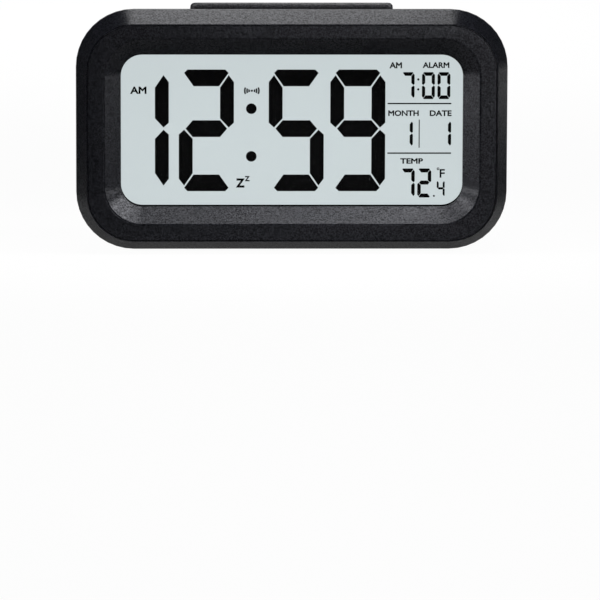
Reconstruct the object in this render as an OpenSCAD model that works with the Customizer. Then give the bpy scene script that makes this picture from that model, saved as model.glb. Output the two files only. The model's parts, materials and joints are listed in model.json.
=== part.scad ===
// Battery-powered LCD alarm clock with a snooze bar on top, four rear keys and a light-sensor switch.
// The front frame and the display stack close a one-piece rear housing from the front.
// Frame: X to the right seen from the front, Y towards the back, Z up, origin under the middle of the feet.

/* [Case] */
// Width of the widest outline
body_w = 134; // [132:0.5:146]
// Height of the widest outline
body_h = 75; // [74:0.5:86]
// Depth from the front rim to the rear key caps
body_d = 45; // [43:0.5:56]
// Corner radius of the widest outline
corner_r = 18; // [16:0.5:21]
// Wall thickness of the rear housing
wall = 2.2; // [1.9:0.1:2.8]
// Depth of the sloping band behind the front rim
band_d = 8; // [6:0.5:10]
// Width of the sloping band seen from the front, at the left and right
band_w = 3.4; // [2.6:0.1:4]
// Width of that band at the top
band_top = 4; // [3:0.1:4.5]
// Width of that band at the bottom
band_low = 3.3; // [2.6:0.1:4]
// Drop of the top surface from the widest outline to the rear
top_drop = 4.6; // [3:0.1:5.5]
// How far each side draws in towards the rear
side_in = 4.5; // [3:0.1:5.5]
// Rounding of the rear edge
rear_round = 2.5; // [1.5:0.1:3]
// Width of the edge that frames the front opening
lip_w = 0.3; // [0.3:0.05:0.8]
// Rounding of that edge
lip_round = 0.2; // [0.1:0.05:0.25]
// Rounding of the widest outline on its front side
wide_round = 3; // [1:0.5:5]

/* [Front frame] */
// Rim width at the left and right, with the edge and the seam
rim_side = 5.45; // [4.5:0.05:6]
// Mean rim width of the top and bottom, with the edge and the seam
rim_top = 5; // [4.5:0.05:6]
// Width of the bevel round the window
bevel_w = 5.05; // [4:0.05:6]
// Depth of the bevel round the window
bevel_d = 4.6; // [4.2:0.1:6.5]
// Corner radius of the window
window_r = 6.7; // [4:0.1:8]
// Thickness of the rim plate
plate_t = 2.6; // [2:0.1:3]
// Width of the ledge in the housing that the rim plate seats on
plate_ledge = 0.5; // [0.3:0.05:0.8]
// Rounding of the edge between the rim and the bevel
edge_round = 0.4; // [0.2:0.05:0.6]
// Rounding of the rim's outer edge
rim_round = 0.2; // [0.1:0.05:0.4]
// Thickness of the edge round the window opening
land_t = 0.6; // [0.4:0.1:1]
// Wall round the display pocket
frame_wall = 2.9; // [2.5:0.1:3.2]

/* [Display] */
// Overlap of the glass behind the window edge
glass_margin = 1.7; // [1.2:0.1:2]
// Thickness of the clear window
lens_t = 1; // [0.8:0.1:1.5]
// Thickness of each of the two display glasses
glass_t = 1.1; // [0.7:0.1:1.3]
// Height of the contact ledge on the display glass
ledge_h = 3.2; // [2.8:0.1:4]
// Thickness of the light guide
guide_t = 3; // [2.5:0.1:4]
// Height of the time digits
digit_h = 38; // [30:0.5:40]
// Height of the alarm digits
alarm_digit_h = 8.4; // [6:0.1:9]
// Height of the month and day digits
date_digit_h = 8.3; // [6:0.1:8.5]
// Height of the temperature digits
temp_digit_h = 9.1; // [6:0.1:9.5]
// Height of the tenth digit
tenth_digit_h = 5.2; // [3:0.1:5.5]

/* [Snooze bar] */
// Length of the bar
snooze_w = 63; // [50:0.5:72]
// Depth of the bar from front to back
snooze_d = 24; // [22.5:0.5:25]
// How far the bar stands above the case
snooze_proud = 2.2; // [1.6:0.1:3]
// Distance of the bar behind the widest outline
snooze_setback = 4.5; // [3.5:0.1:5]
// Corner radius of the bar seen from above
snooze_r = 2.5; // [1.5:0.1:4]
// Rounding of the bar's top edge
snooze_edge = 1.3; // [0.5:0.1:1.5]
// Travel of the bar
snooze_travel = 0.8; // [0.4:0.1:1]

/* [Rear keys] */
// Length of a key cap
key_l = 10; // [8:0.5:12]
// Height of a key cap
key_h = 5.5; // [4:0.5:7]
// Distance between keys
key_pitch = 18; // [16.5:0.5:19]
// How far a key stands out of the rear wall
button_proud = 1; // [0.8:0.1:1.5]
// Travel of a key
key_travel = 0.5; // [0.2:0.05:0.6]
// Travel of the light-sensor switch
sensor_travel = 3; // [2:0.1:3.5]

/* [Battery bay] */
// Diameter of one cell
cell_d = 10.5; // [9.8:0.1:10.8]
// Length of one cell over its terminal
cell_l = 44.5; // [43:0.1:46]
// Height of the bay above the base
bay_rise = 9.7; // [8:0.1:10]
// Width of the ledge that carries the door
bay_ledge = 2.4; // [2:0.1:3]
// Thickness of the door
door_t = 1.8; // [1.6:0.1:2]

/* [Boards and screws] */
// Thickness of a circuit board
board_t = 1.6; // [1:0.1:2]
// Diameter of the case screws
case_screw_d = 2.5; // [2:0.1:2.6]
// Diameter of the board screws
board_screw_d = 2; // [1.6:0.1:2.2]
// Diameter of the sounder
speaker_d = 20; // [16:0.5:22]

/* [Feet] */
// Diameter of a foot
foot_d = 9; // [6:0.5:10]
// How far a foot stands below the case
foot_proud = 0.8; // [0.5:0.1:1.2]
// Depth of a foot's pocket
foot_sunk = 0.6; // [0.4:0.1:1]

/* [Fits] */
// Clearance round a sliding key or bar
slide_gap = 0.3; // [0.2:0.05:0.4]
// Clearance round a fixed piece in its seat
seat_gap = 0.2; // [0.1:0.05:0.3]
// Clearance of the front frame in the housing
seam_gap = 0.1; // [0.05:0.05:0.2]
// Clearance between stacked display layers
stack_gap = 0.1; // [0.05:0.05:0.2]
// Radial clearance of a screw or a switch stem in its hole
hole_gap = 0.1; // [0.05:0.05:0.15]

/* [Hidden] */
$fn = 48;
hull_fn = 40;
thin = 0.01;
cut = 1;

// Case planes and outlines
y_front = -body_d / 2;
y_wide = y_front + band_d;
y_rear = body_d / 2 - button_proud;
y_rear_in = y_rear - wall;
y_taper_end = y_rear - rear_round;
z_base = foot_proud;
z_mid = z_base + body_h / 2;
front_w = body_w - 2 * band_w;
front_h = body_h - band_top - band_low;
z_front = z_base + band_low + front_h / 2;
front_r = corner_r - band_w;
wide_turn = atan(band_w / band_d);
lip_slope = min(band_w, band_top, band_low) / band_d;
rear_w = body_w - 2 * side_in;
rear_h = body_h - top_drop;
rear_r_less = 3;
rear_r = corner_r - rear_r_less;
rear_top = z_base + rear_h;
inner_round = 1.5;
open_w = front_w - 2 * lip_w;
open_h = front_h - 2 * lip_w;
open_r = front_r - lip_w;
y_open = y_front - cut;
y_plate = y_front + plate_t;
y_bore = y_plate - cut;
y_bore_end = y_rear_in - inner_round;
top_slope = top_drop / (y_taper_end - y_wide);

// Height of the outer top surface, and of the roof of the hollow, at a depth
function top_z(y) = z_base + body_h - top_slope * (y - y_wide);
function bore_share(y) = (y - y_bore) / (y_bore_end - y_bore);
function mix(a, b, t) = a + (b - a) * t;
function roof_z(y) = mix(z_front + open_h / 2 - plate_ledge, rear_top - wall, bore_share(y));

// Front frame
plate_w = open_w - 2 * seam_gap;
plate_h = open_h - 2 * seam_gap;
plate_r = open_r - seam_gap;
window_w = body_w - 2 * (band_w + rim_side + bevel_w);
window_h = front_h - 2 * (rim_top + bevel_w);
y_land = y_front + bevel_d;
glass_w = window_w + 2 * glass_margin;
glass_h = window_h + 2 * glass_margin;
pocket_gap = 0.3;
pocket_w = glass_w + 2 * pocket_gap;
pocket_h = glass_h + 2 * pocket_gap;
pocket_r = 1;
frame_w = pocket_w + 2 * frame_wall;
frame_h = pocket_h + 2 * frame_wall;
frame_r = 6;

// Display stack, from the window back to the main board
y_lens = y_land + land_t;
y_lcd = y_lens + lens_t + stack_gap;
y_lcd_mid = y_lcd + glass_t;
y_lcd_back = y_lcd_mid + glass_t;
y_guide = y_lcd_back + stack_gap;
film_t = 0.2;
y_film = y_guide + guide_t;
led_room = 0.7;
y_board = y_film + film_t + led_room;
y_board_back = y_board + board_t;
segment_t = stack_gap / 2;
zebra_gap = 0.3;
zebra_h = ledge_h - 2 * zebra_gap;
zebra_end = 5;
zebra_l = glass_w - 2 * zebra_end;
led_l = 3;
led_t = 1.6;
led_depth = 2.6;
led_edge = 2.2;
guide_edge = 0.4;
guide_w = glass_w - 2 * (led_t + led_edge);
guide_low = -glass_h / 2 + ledge_h + guide_edge;
guide_high = glass_h / 2 - guide_edge;

// Main board and the screws round the display pocket
board_w = frame_w;
board_over = 0.8;
board_h = frame_h + 2 * board_over;
board_r = 6;
boss_skin = 0.5;
boss_z = pocket_h / 2 + case_screw_d / 2 + hole_gap + boss_skin;
case_boss_in = 10;
case_boss_x = board_w / 2 - case_boss_in;
board_boss_x = 20;
case_boss_wall = 1.85;
case_boss_r = case_screw_d / 2 + case_boss_wall;
frame_boss_wall = 1.5;
frame_boss_r = case_screw_d / 2 + frame_boss_wall;
case_head_over = 1.05;
case_head_r = case_screw_d / 2 + case_head_over;
case_head_t = 1.6;
case_boss_floor = 3;
case_screw_l = 9;
board_head_over = 0.9;
board_head_r = board_screw_d / 2 + board_head_over;
board_head_t = 1.4;
board_screw_l = 7;
screw_tip_room = 0.5;

// Snooze bar
snooze_y0 = y_wide + snooze_setback;
snooze_y = snooze_y0 + snooze_d / 2;
snooze_wall = 1.6;
snooze_roof = 1.8;
snooze_skirt = 1.2;
snooze_h = snooze_proud + top_z(snooze_y0) - roof_z(snooze_y0) + snooze_skirt;
snooze_hook = 1.4;
snooze_hook_l = 8;
snooze_hook_t = 1.2;
snooze_hook_z = roof_z(snooze_y + snooze_hook_l / 2) - stack_gap;
function bar_low_z(y) = top_z(y) + snooze_proud - snooze_h * norm([1, top_slope]);

// Battery bay, cells and door
cell_count = 3;
cell_gap = 0.5;
cell_pitch = cell_d + cell_gap;
plate_metal = 0.4;
dimple_h = 1;
dimple_r = 2;
dimple_flare = 0.5;
spring_room = 4.7;
contact_gap = 0.05;
nub_l = 0.8;
nub_r = 1.9;
cell_edge = 0.5;
bay_l = cell_l + spring_room + dimple_h + 2 * plate_metal;
bay_end_gap = 0.3;
bay_h = cell_count * cell_pitch + 2 * bay_end_gap;
bay_z = z_base + bay_rise;
bay_floor_t = 1.6;
bay_skin = 1.2;
y_door_in = y_rear - door_t;
y_cell = y_door_in - seat_gap - cell_d / 2;
y_bay = y_cell - cell_d / 2 - seat_gap;
door_w = bay_l + 2 * bay_ledge;
door_h = bay_h + 2 * bay_ledge;
door_z = bay_z - bay_ledge;
door_r = 2;
bay_top = door_z + door_h + seat_gap + bay_skin;
door_edge = door_t / 2;
tab_x = door_w / 4;
tab_w = 6;
tab_t = 1.2;
tab_drop = 2;
tab_rise = 2.2;
tongue_w = 12;
tongue_l = 8;
tongue_slot = 1;
ridge_count = 3;
ridge_l = 8;
ridge_h = 0.4;
ridge_t = 0.7;
ridge_drop = 2.4;
ridge_pitch = 1.6;
notch_w = 16;
notch_h = 3.2;
notch_depth = 1.1;
rib_t = 1;
rib_h = 2;
rib_l = cell_l - 10;
plate_h_contact = 9;
tail_w = 2;
tail_l = 2;
function cell_z(i) = bay_z + bay_h / 2 + (i - (cell_count - 1) / 2) * cell_pitch;
function cell_side(i) = i % 2 == 0 ? 1 : -1;

// Rear keys and their board, midway between the bay and the pressed snooze bar
key_flange = 1;
key_flange_t = 1.1;
key_post_r = 1.6;
key_post_l = 1.2;
stem_r = 1.65;
stem_proud = 1.5;
stem_sunk = 0.5;
switch_a = 6;
switch_h = 3.5;
y_stem = y_rear_in - key_flange_t - key_post_l;
y_key_board = y_stem - stem_proud - switch_h;
y_key_front = y_key_board - board_t;
key_z = (bay_top + bar_low_z(y_key_board) - snooze_travel) / 2;
key_board_h = 9.6;
key_board_edge = 0.3;
key_boss_x = 1.5 * key_pitch;
key_boss_wall = 1.5;
key_boss_r = board_screw_d / 2 + key_boss_wall;
key_boss_z = key_z - key_board_h / 2 + board_head_r + key_board_edge;
key_x = [for (i = [-1 : 2]) i * key_pitch];

// Light-sensor switch, clear of the key board's screw
sensor_body_l = 9;
sensor_body_h = 5;
sensor_lever_a = 2;
sensor_knob_l = 4.5;
sensor_knob_h = 2.6;
sensor_plate_t = 0.9;
sensor_knob_proud = 0.6;
sensor_plate_end = 0.5;
sensor_plate_side = 0.8;
sensor_plate_l = sensor_knob_l + 2 * sensor_travel + 2 * slide_gap + 2 * sensor_plate_end;
sensor_plate_h = sensor_knob_h + 2 * sensor_plate_side;
sensor_x = -key_boss_x - key_boss_r - slide_gap - (sensor_plate_l + sensor_travel) / 2;
y_sensor_plate = y_rear_in - seat_gap - sensor_plate_t;
key_board_end = 2;
key_board_w = 2 * (sensor_body_l / 2 - sensor_x + key_board_end);

// Snooze switch on the key board
snooze_switch_d = 3.6;
snooze_switch_y = y_key_front - snooze_switch_d / 2;
snooze_switch_z = key_z + key_board_h / 2 - key_board_edge;
snooze_stem_r = 1.5;
snooze_stem_proud = 2.6;
snooze_stem_z = snooze_switch_z + snooze_stem_proud;
snooze_post_r = 2.2;

// Battery springs: a cone of round wire between the plate and the cell
spring_wire = 0.6;
spring_turns = 3;
spring_rings = 8;
spring_base_r = 3.7;
spring_tip_r = 2.2;
spring_rise = spring_room - 2 * spring_wire - contact_gap;

// Sounder
speaker_r = speaker_d / 2;
speaker_x = (door_w / 2 + rear_w / 2 - wall) / 2;
speaker_z = z_base + rear_h / 2;
speaker_depth = 4.6;
speaker_ring_t = 1.2;
speaker_ring_h = 3;
speaker_flange = 1.4;
speaker_rim_t = 1.6;
speaker_web = 0.4;
speaker_web_y = 2.6;
speaker_slope = 3;
cone_edge = 1.5;
cone_roll = 1;
cone_t = 0.2;
cone_top = 0.5;
cone_dome = 0.9;
cone_valley = 1.4;
grille_hole_r = 0.9;
grille_pitch = 3.3;
grille_edge = 2;

// Feet
foot_in = 7;
foot_back = 11.2;
foot_edge = 0.6;
foot_x = body_w / 2 - corner_r - foot_in;
foot_y_front = y_wide + foot_back;
foot_y_rear = y_taper_end - foot_d / 2 - foot_edge;

// Wires
wire_d = 1.2;
wire_sides = 8;
wire_rings = 12;

// Parts on the boards
chip_x = -15;
chip_r = 7;
chip_t = 2;
crystal_x = -32;
crystal_r = 1;
crystal_l = 6;
crystal_rise = 12;
capacitor_x = 32;
capacitor_r = 2.5;
capacitor_l = 7;
thermistor_x = -38;
thermistor_drop = 20;
thermistor_l = 4;
thermistor_r = 1.3;
thermistor_leg_r = 0.25;
thermistor_leg_x = 0.5;
capacitor_base = 1;
capacitor_groove = 0.3;
ribbon_x = 13;
ribbon_w = 10;
ribbon_t = 0.8;
ribbon_drop = 13;
ribbon_rise = 3.5;
ribbon_lead = 6;
wire_lead = 5;
speaker_lead_in = 4;
battery_lead_out = 5;

// Display layout, measured from the middle of the window
digit_ref_h = 38;
digit_ref_w = 17.1;
bar_t = 5.2;
post_t = 4.3;
bar_run = 2.95;
bar_foot = post_t + 0.3;
bar_corner = 1.05;
cross_share = 0.515;
cross_tip = 2.1;
cross_run = 2.2;
post_tip = 0.62 * post_t;
post_top = 1.75;
post_split = 0.35;
post_shift = 0.45;
post_outer_cut = 2.15;
post_low_cut = 1.5;
post_inner_cut = 2.85;
digit_lit = [
    "abcdef", "bc", "abged", "abgcd", "fgbc", "afgcd", "afgedc", "abc", "abcdefg", "abcdfg"
];
time_right = 29;
time_low = -19.2;
digit_gap = 2;
colon_room = 10.8;
one_gap = 3.1;
colon_r = 1.65;
colon_z = [6.6, -8.3];
column_left = 29.7;
column_right = 49.5;
column_wide = 1.06;
column_lines = [8, -7.5];
column_line_t = 0.42;
alarm_right = 49.15;
alarm_low = 9.6;
alarm_gap = 0.8;
alarm_colon_room = 2.3;
alarm_colon_r = 0.35;
date_low = -5.35;
date_split = 39.4;
date_split_t = 0.3;
date_split_over = 0.25;
date_right = 37.6;
temp_low = -21.2;
temp_right = 43.4;
temp_point_r = 0.3;
tenth_right = 47.6;
tenth_up = 0.2;

// Directions, curves and swept tubes
function unit(v) = v / norm(v);
function bezier(a, b, c, d, t) =
    pow(1 - t, 3) * a + 3 * pow(1 - t, 2) * t * b + 3 * (1 - t) * t * t * c + pow(t, 3) * d;
function bezier_path(a, b, c, d, n) = [for (i = [0 : n]) bezier(a, b, c, d, i / n)];
function tangent(path, i) = unit(path[min(i + 1, len(path) - 1)] - path[max(i - 1, 0)]);
function ring_at(path, hint, i, d, sides) =
    let (t = tangent(path, i), u = unit(hint - (hint * t) * t), v = cross(u, t))
    [for (k = [0 : sides - 1]) path[i] + d / 2 * (cos(360 * k / sides) * u + sin(360 * k / sides) * v)];
function least_gap(path, d, apart) =
    let (last = len(path) - 1)
    min([for (i = [0 : last - apart], j = [i + apart : last]) norm(path[i] - path[j])]) - d;

module tube(path, hints, d, sides) {
    n = len(path);
    last = (n - 1) * sides;
    points = [for (i = [0 : n - 1]) each ring_at(path, hints[i], i, d, sides)];
    walls = [
        for (i = [0 : n - 2], k = [0 : sides - 1])
        let (a = i * sides + k, b = i * sides + (k + 1) % sides)
        each [[a, b, b + sides], [a, b + sides, a + sides]]
    ];
    start_cap = [for (k = [1 : sides - 2]) [0, k + 1, k]];
    end_cap = [for (k = [1 : sides - 2]) [last, last + k, last + k + 1]];
    polyhedron(points, concat(walls, start_cap, end_cap));
}

// A flat outline drawn in X and Z, made solid from y0 back to y1
module along_y(y0, y1) {
    rotate([90, 0, 0])
    translate([0, 0, -y1])
    linear_extrude(y1 - y0)
    children();
}

// A round rod along Y
module rod_y(x, z, y0, y1, r) {
    translate([x, y1, z])
    rotate([90, 0, 0])
    cylinder(h = y1 - y0, r = r);
}

// A profile of [radius, y] points turned round a Y axis
module turned_y(x, z, profile) {
    translate([x, 0, z])
    rotate([90, 0, 0])
    rotate_extrude()
    polygon([for (p = profile) [p[0], -p[1]]]);
}

module rounded_rect(w, h, r) {
    square([w - 2 * r, h], center = true);
    square([w, h - 2 * r], center = true);
    for (x = [-1, 1], z = [-1, 1])
        translate([x * (w / 2 - r), z * (h / 2 - r)])
        circle(r);
}

module stadium(l, h) {
    square([l - h, h], center = true);
    for (x = [-1, 1])
        translate([x * (l - h) / 2, 0])
        circle(h / 2);
}

// A rounded outline whose edge follows a profile of [offset, y] points, from front to back
module swept_block(w, h, r, profile) {
    cx = w / 2 - r;
    cz = h / 2 - r;
    last = profile[len(profile) - 1];
    rim = [for (p = profile) [r + p[0], -p[1]]];
    section = concat([[0, -profile[0][1]]], rim, [[0, -last[1]]]);
    rotate([90, 0, 0]) {
        for (q = [0 : 3])
            translate([(q == 0 || q == 3 ? cx : -cx), (q < 2 ? cz : -cz), 0])
            rotate([0, 0, 90 * q])
            rotate_extrude(angle = 90)
            polygon(section);
        for (q = [0, 180])
            rotate([0, 0, q]) {
                if (cz > 0)
                    translate([cx, 0, 0])
                    rotate([90, 0, 0])
                    linear_extrude(2 * cz, center = true)
                    polygon(section);
                translate([0, cz, 0])
                rotate([90, 0, 90])
                linear_extrude(2 * cx, center = true)
                polygon(section);
            }
        if (cz > 0)
            translate([-cx, -cz, -last[1]])
            cube([2 * cx, 2 * cz, last[1] - profile[0][1]]);
    }
}

// A thin slice of a rounded outline, for the case's lofted forms
module outline_slice(y, w, h, r, z) {
    for (x = [-1, 1], s = [-1, 1])
        translate([x * (w / 2 - r), 0, z + s * (h / 2 - r)])
        along_y(y, y + thin)
        circle(r, $fn = hull_fn);
}

// Screw with a pan head, its shank towards the front
module screw(x, z, y, d, l, head_r, head_t) {
    difference() {
        union() {
            rod_y(x, z, y - l, y, d / 2);
            turned_y(x, z, [
                [0, y], [head_r, y], [head_r, y + head_t / 2], [head_r * 0.6, y + head_t], [0, y + head_t]
            ]);
        }
        for (a = [0, 90])
            translate([x, y + head_t, z])
            rotate([0, a, 0])
            cube([head_r * 1.1, head_t, head_r * 0.25], center = true);
    }
}

module case_boss_places() {
    for (x = [-1, 1], s = [-1, 1])
        translate([x * case_boss_x, 0, z_mid + s * boss_z])
        children();
}

module board_boss_places() {
    for (x = [-1, 1], s = [-1, 1])
        translate([x * board_boss_x, 0, z_mid + s * boss_z])
        children();
}

module foot_places() {
    for (x = [-1, 1], y = [foot_y_front, foot_y_rear])
        translate([x * foot_x, y, 0])
        children();
}

// Rear housing: one moulded bucket with the battery bay, bosses and openings
module housing_outside() {
    hull() {
        for (t = [0 : 0.5 : 1]) {
            inset = lip_round * (pow(1 - t, 2) - t * t * lip_slope);
            outline_slice(
                y_front + lip_round * t * t,
                front_w - 2 * inset, front_h - 2 * inset, front_r - inset, z_front
            );
        }
        for (a = [0 : wide_turn / 3 : wide_turn]) {
            inset = wide_round * (1 - cos(a));
            outline_slice(
                y_wide - wide_round * sin(a),
                body_w - 2 * inset, body_h - 2 * inset, corner_r - inset, z_mid
            );
        }
        for (a = [0 : 22.5 : 90]) {
            inset = rear_round * (1 - cos(a));
            outline_slice(
                y_taper_end + rear_round * sin(a) - thin,
                rear_w - 2 * inset, rear_h - 2 * inset, rear_r - inset, z_base + rear_h / 2
            );
        }
    }
}

module housing_inside() {
    translate([0, 0, z_front])
    along_y(y_open, y_plate)
    rounded_rect(open_w, open_h, open_r);
    hull() {
        outline_slice(
            y_bore, open_w - 2 * plate_ledge, open_h - 2 * plate_ledge, open_r - plate_ledge, z_front
        );
        outline_slice(y_bore_end, rear_w - 2 * wall, rear_h - 2 * wall, rear_r - wall, z_base + rear_h / 2);
        outline_slice(
            y_rear_in - thin,
            rear_w - 2 * wall - 2 * inner_round, rear_h - 2 * wall - 2 * inner_round,
            rear_r - wall - inner_round, z_base + rear_h / 2
        );
    }
}

module bay_place() {
    translate([0, 0, bay_z + bay_h / 2])
    children();
}

// The door's outline with a clearance: square at the hinge edge, round at the top corners
module door_pocket(gap) {
    rounded_rect(door_w + 2 * gap, door_h + 2 * gap, door_r + gap);
    translate([-door_w / 2 - gap, -door_h / 2 - gap])
    square([door_w + 2 * gap, door_h / 2]);
}

// Low ribs on the bay's floor that keep the cells apart
module cell_ribs() {
    for (i = [0 : cell_count - 2])
        translate([-rib_l / 2, y_bay - bay_floor_t / 2, (cell_z(i) + cell_z(i + 1) - rib_t) / 2])
        cube([rib_l, bay_floor_t / 2 + rib_h, rib_t]);
}

module tab_slot(x) {
    slot_w = tab_w + 2 * slide_gap;
    slot_y = y_rear - door_edge - door_reach - slide_gap;
    translate([x - slot_w / 2, slot_y, door_z - tab_drop - slide_gap])
    cube([slot_w, y_rear_in - slot_y, tab_drop + slide_gap]);
    translate([x - slot_w / 2, slot_y, door_z])
    cube([slot_w, y_door_in - slot_y + thin, bay_ledge + thin]);
}

module grille_holes() {
    rows = floor((speaker_r - grille_edge) / grille_pitch);
    for (i = [-rows : rows], j = [-rows : rows])
        if (norm([i, j]) * grille_pitch < speaker_r - grille_edge)
            rod_y(
                speaker_x + i * grille_pitch, speaker_z + j * grille_pitch,
                y_rear_in - thin, y_rear + cut, grille_hole_r
            );
}

module tail_slot(side, z) {
    translate([side * (bay_l / 2 - plate_metal / 2), y_bay - bay_floor_t / 2, z])
    cube([plate_metal + 2 * seat_gap, bay_floor_t + 2 * thin, tail_w + 2 * seat_gap], center = true);
}

module rear_housing() {
    color("#26272a") {
        housing_shell();
        cell_ribs();
    }
}

module housing_shell() {
    difference() {
        union() {
            difference() {
                housing_outside();
                housing_inside();
            }
            bay_place()
            along_y(y_bay - bay_floor_t, y_rear_in + wall / 2)
            rounded_rect(door_w + 2 * (seat_gap + bay_skin), door_h + 2 * (seat_gap + bay_skin), door_r);
            case_boss_places()
            rod_y(0, 0, y_board, y_rear_in + wall / 2, case_boss_r);
            for (x = [-1, 1])
                rod_y(x * key_boss_x, key_boss_z, y_key_board, y_rear_in + wall / 2, key_boss_r);
            rod_y(
                speaker_x, speaker_z, y_rear_in - speaker_ring_h, y_rear_in + wall / 2,
                speaker_r + seat_gap + speaker_ring_t
            );
        }
        bay_place()
        along_y(y_bay, y_rear + cut)
        square([bay_l, bay_h], center = true);
        bay_place()
        along_y(y_door_in, y_rear + cut)
        door_pocket(seat_gap);
        for (x = [-tab_x, tab_x])
            tab_slot(x);
        translate([0, 0, door_z + door_h])
        along_y(y_rear - notch_depth, y_rear + cut)
        stadium(notch_w, 2 * notch_h);
        tail_slot(cell_side(0), cell_z(0));
        tail_slot(-cell_side(cell_count - 1), cell_z(cell_count - 1));
        case_boss_places() {
            rod_y(0, 0, y_board - cut, y_rear + cut, case_screw_d / 2 + hole_gap);
            rod_y(0, 0, y_board + case_boss_floor, y_rear + cut, case_head_r + seat_gap);
        }
        for (x = [-1, 1])
            rod_y(
                x * key_boss_x, key_boss_z, y_key_board - cut,
                y_key_front + board_screw_l + screw_tip_room, board_screw_d / 2 + hole_gap
            );
        rod_y(speaker_x, speaker_z, y_rear_in - speaker_ring_h - cut, y_rear_in, speaker_r + seat_gap);
        grille_holes();
        for (x = key_x)
            translate([x, 0, key_z])
            along_y(y_rear_in - cut, y_rear + cut)
            stadium(key_l + 2 * slide_gap, key_h + 2 * slide_gap);
        translate([sensor_x, 0, key_z])
        along_y(y_rear_in - cut, y_rear + cut)
        square([
            sensor_knob_l + sensor_travel + 2 * slide_gap, sensor_knob_h + 2 * slide_gap
        ], center = true);
        translate([0, snooze_y, rear_top - wall - snooze_h])
        linear_extrude(body_h)
        rounded_rect(snooze_w + 2 * slide_gap, snooze_d + 2 * slide_gap, snooze_r + slide_gap);
        foot_places()
        cylinder(h = foot_proud + foot_sunk, r = foot_d / 2 + seat_gap);
    }
}

// Front frame: the rim, the bevel round the window and the wall of the display pocket
module front_bezel() {
    round_over = [
        for (a = [0 : 30 : 90]) [-rim_round * (1 - sin(a)), y_front + rim_round * (1 - cos(a))]
    ];
    slope = unit([bevel_w, bevel_d]);
    bevel_edge = [
        for (t = [0 : 1 / 3 : 1])
        [
            bevel_w + edge_round * pow(1 - t, 2) - edge_round * slope[0] * t * t,
            y_front + edge_round * slope[1] * t * t
        ]
    ];
    color("#1f2022")
    difference() {
        union() {
            translate([0, 0, z_front])
            swept_block(plate_w, plate_h, plate_r, concat(round_over, [[0, y_plate]]));
            translate([0, 0, z_mid])
            swept_block(frame_w, frame_h, frame_r, [[0, y_front + plate_t / 2], [0, y_board]]);
            case_boss_places()
            rod_y(0, 0, y_front + plate_t / 2, y_board, frame_boss_r);
            board_boss_places()
            rod_y(0, 0, y_front + plate_t / 2, y_board, frame_boss_r);
        }
        translate([0, 0, z_mid])
        swept_block(
            window_w, window_h, window_r,
            concat([[bevel_w + edge_round, y_front - cut]], bevel_edge, [[0, y_land], [0, y_lens + thin]])
        );
        translate([0, 0, z_mid])
        along_y(y_lens, y_board + cut)
        rounded_rect(pocket_w, pocket_h, pocket_r);
        case_boss_places()
        rod_y(
            0, 0, y_board + case_boss_floor - case_screw_l - screw_tip_room, y_board + cut,
            case_screw_d / 2 + hole_gap
        );
        board_boss_places()
        rod_y(
            0, 0, y_board_back - board_screw_l - screw_tip_room, y_board + cut, board_screw_d / 2 + hole_gap
        );
    }
}

// Display stack
module display_window() {
    color("#c9d3d6", 0.3)
    translate([0, 0, z_mid])
    along_y(y_lens, y_lens + lens_t)
    rounded_rect(glass_w, glass_h, pocket_r);
}

module lcd_panel() {
    color("#c9d1d3")
    translate([0, 0, z_mid]) {
        along_y(y_lcd, y_lcd_mid)
        square([glass_w, glass_h], center = true);
        along_y(y_lcd_mid, y_lcd_back)
        translate([-glass_w / 2, -glass_h / 2 + ledge_h])
        square([glass_w, glass_h - ledge_h]);
    }
}

// Points of the seven segments of a digit at the reference height, from its lower left corner
mid_h = cross_share * digit_ref_h;
function top_bar() = [
    [bar_foot, digit_ref_h - bar_t], [bar_foot - bar_run, digit_ref_h - bar_corner],
    [bar_foot - bar_run + bar_corner, digit_ref_h],
    [digit_ref_w - bar_foot + bar_run - bar_corner, digit_ref_h],
    [digit_ref_w - bar_foot + bar_run, digit_ref_h - bar_corner],
    [digit_ref_w - bar_foot, digit_ref_h - bar_t]
];
function cross_bar() = [
    [cross_tip, mid_h], [cross_tip + cross_run, mid_h + bar_t / 2],
    [digit_ref_w - cross_tip - cross_run, mid_h + bar_t / 2], [digit_ref_w - cross_tip, mid_h],
    [digit_ref_w - cross_tip - cross_run, mid_h - bar_t / 2], [cross_tip + cross_run, mid_h - bar_t / 2]
];
function right_post(low) = [
    [digit_ref_w - post_t, digit_ref_h - bar_t - post_shift],
    [digit_ref_w - post_t + post_tip, digit_ref_h - post_top],
    [digit_ref_w, digit_ref_h - post_top - post_outer_cut], [digit_ref_w, low + post_split + post_low_cut],
    [digit_ref_w - post_t + post_tip, low + post_split],
    [digit_ref_w - post_t, low + post_split + post_inner_cut]
];
function upper_post() = right_post(mid_h);
function lower_post() = flip_z(right_post(digit_ref_h - mid_h));
function flip_x(points) = [for (p = points) [digit_ref_w - p[0], p[1]]];
function flip_z(points) = [for (p = points) [p[0], digit_ref_h - p[1]]];
function segment_points(s) =
    s == "a" ? top_bar() : s == "d" ? flip_z(top_bar()) : s == "g" ? cross_bar() :
    s == "b" ? upper_post() : s == "c" ? lower_post() :
    s == "f" ? flip_x(upper_post()) : flip_x(lower_post());

module digit(value, right, low, h, wide = 1) {
    size = h / digit_ref_h;
    for (s = digit_lit[value])
        translate([right - digit_ref_w * size * wide, low])
        polygon([for (p = segment_points(s)) size * [p[0] * wide, p[1]]]);
}

function digit_w(h) = digit_ref_w * h / digit_ref_h;

module dot(x, z, r) {
    translate([x, z])
    circle(r);
}

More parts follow.
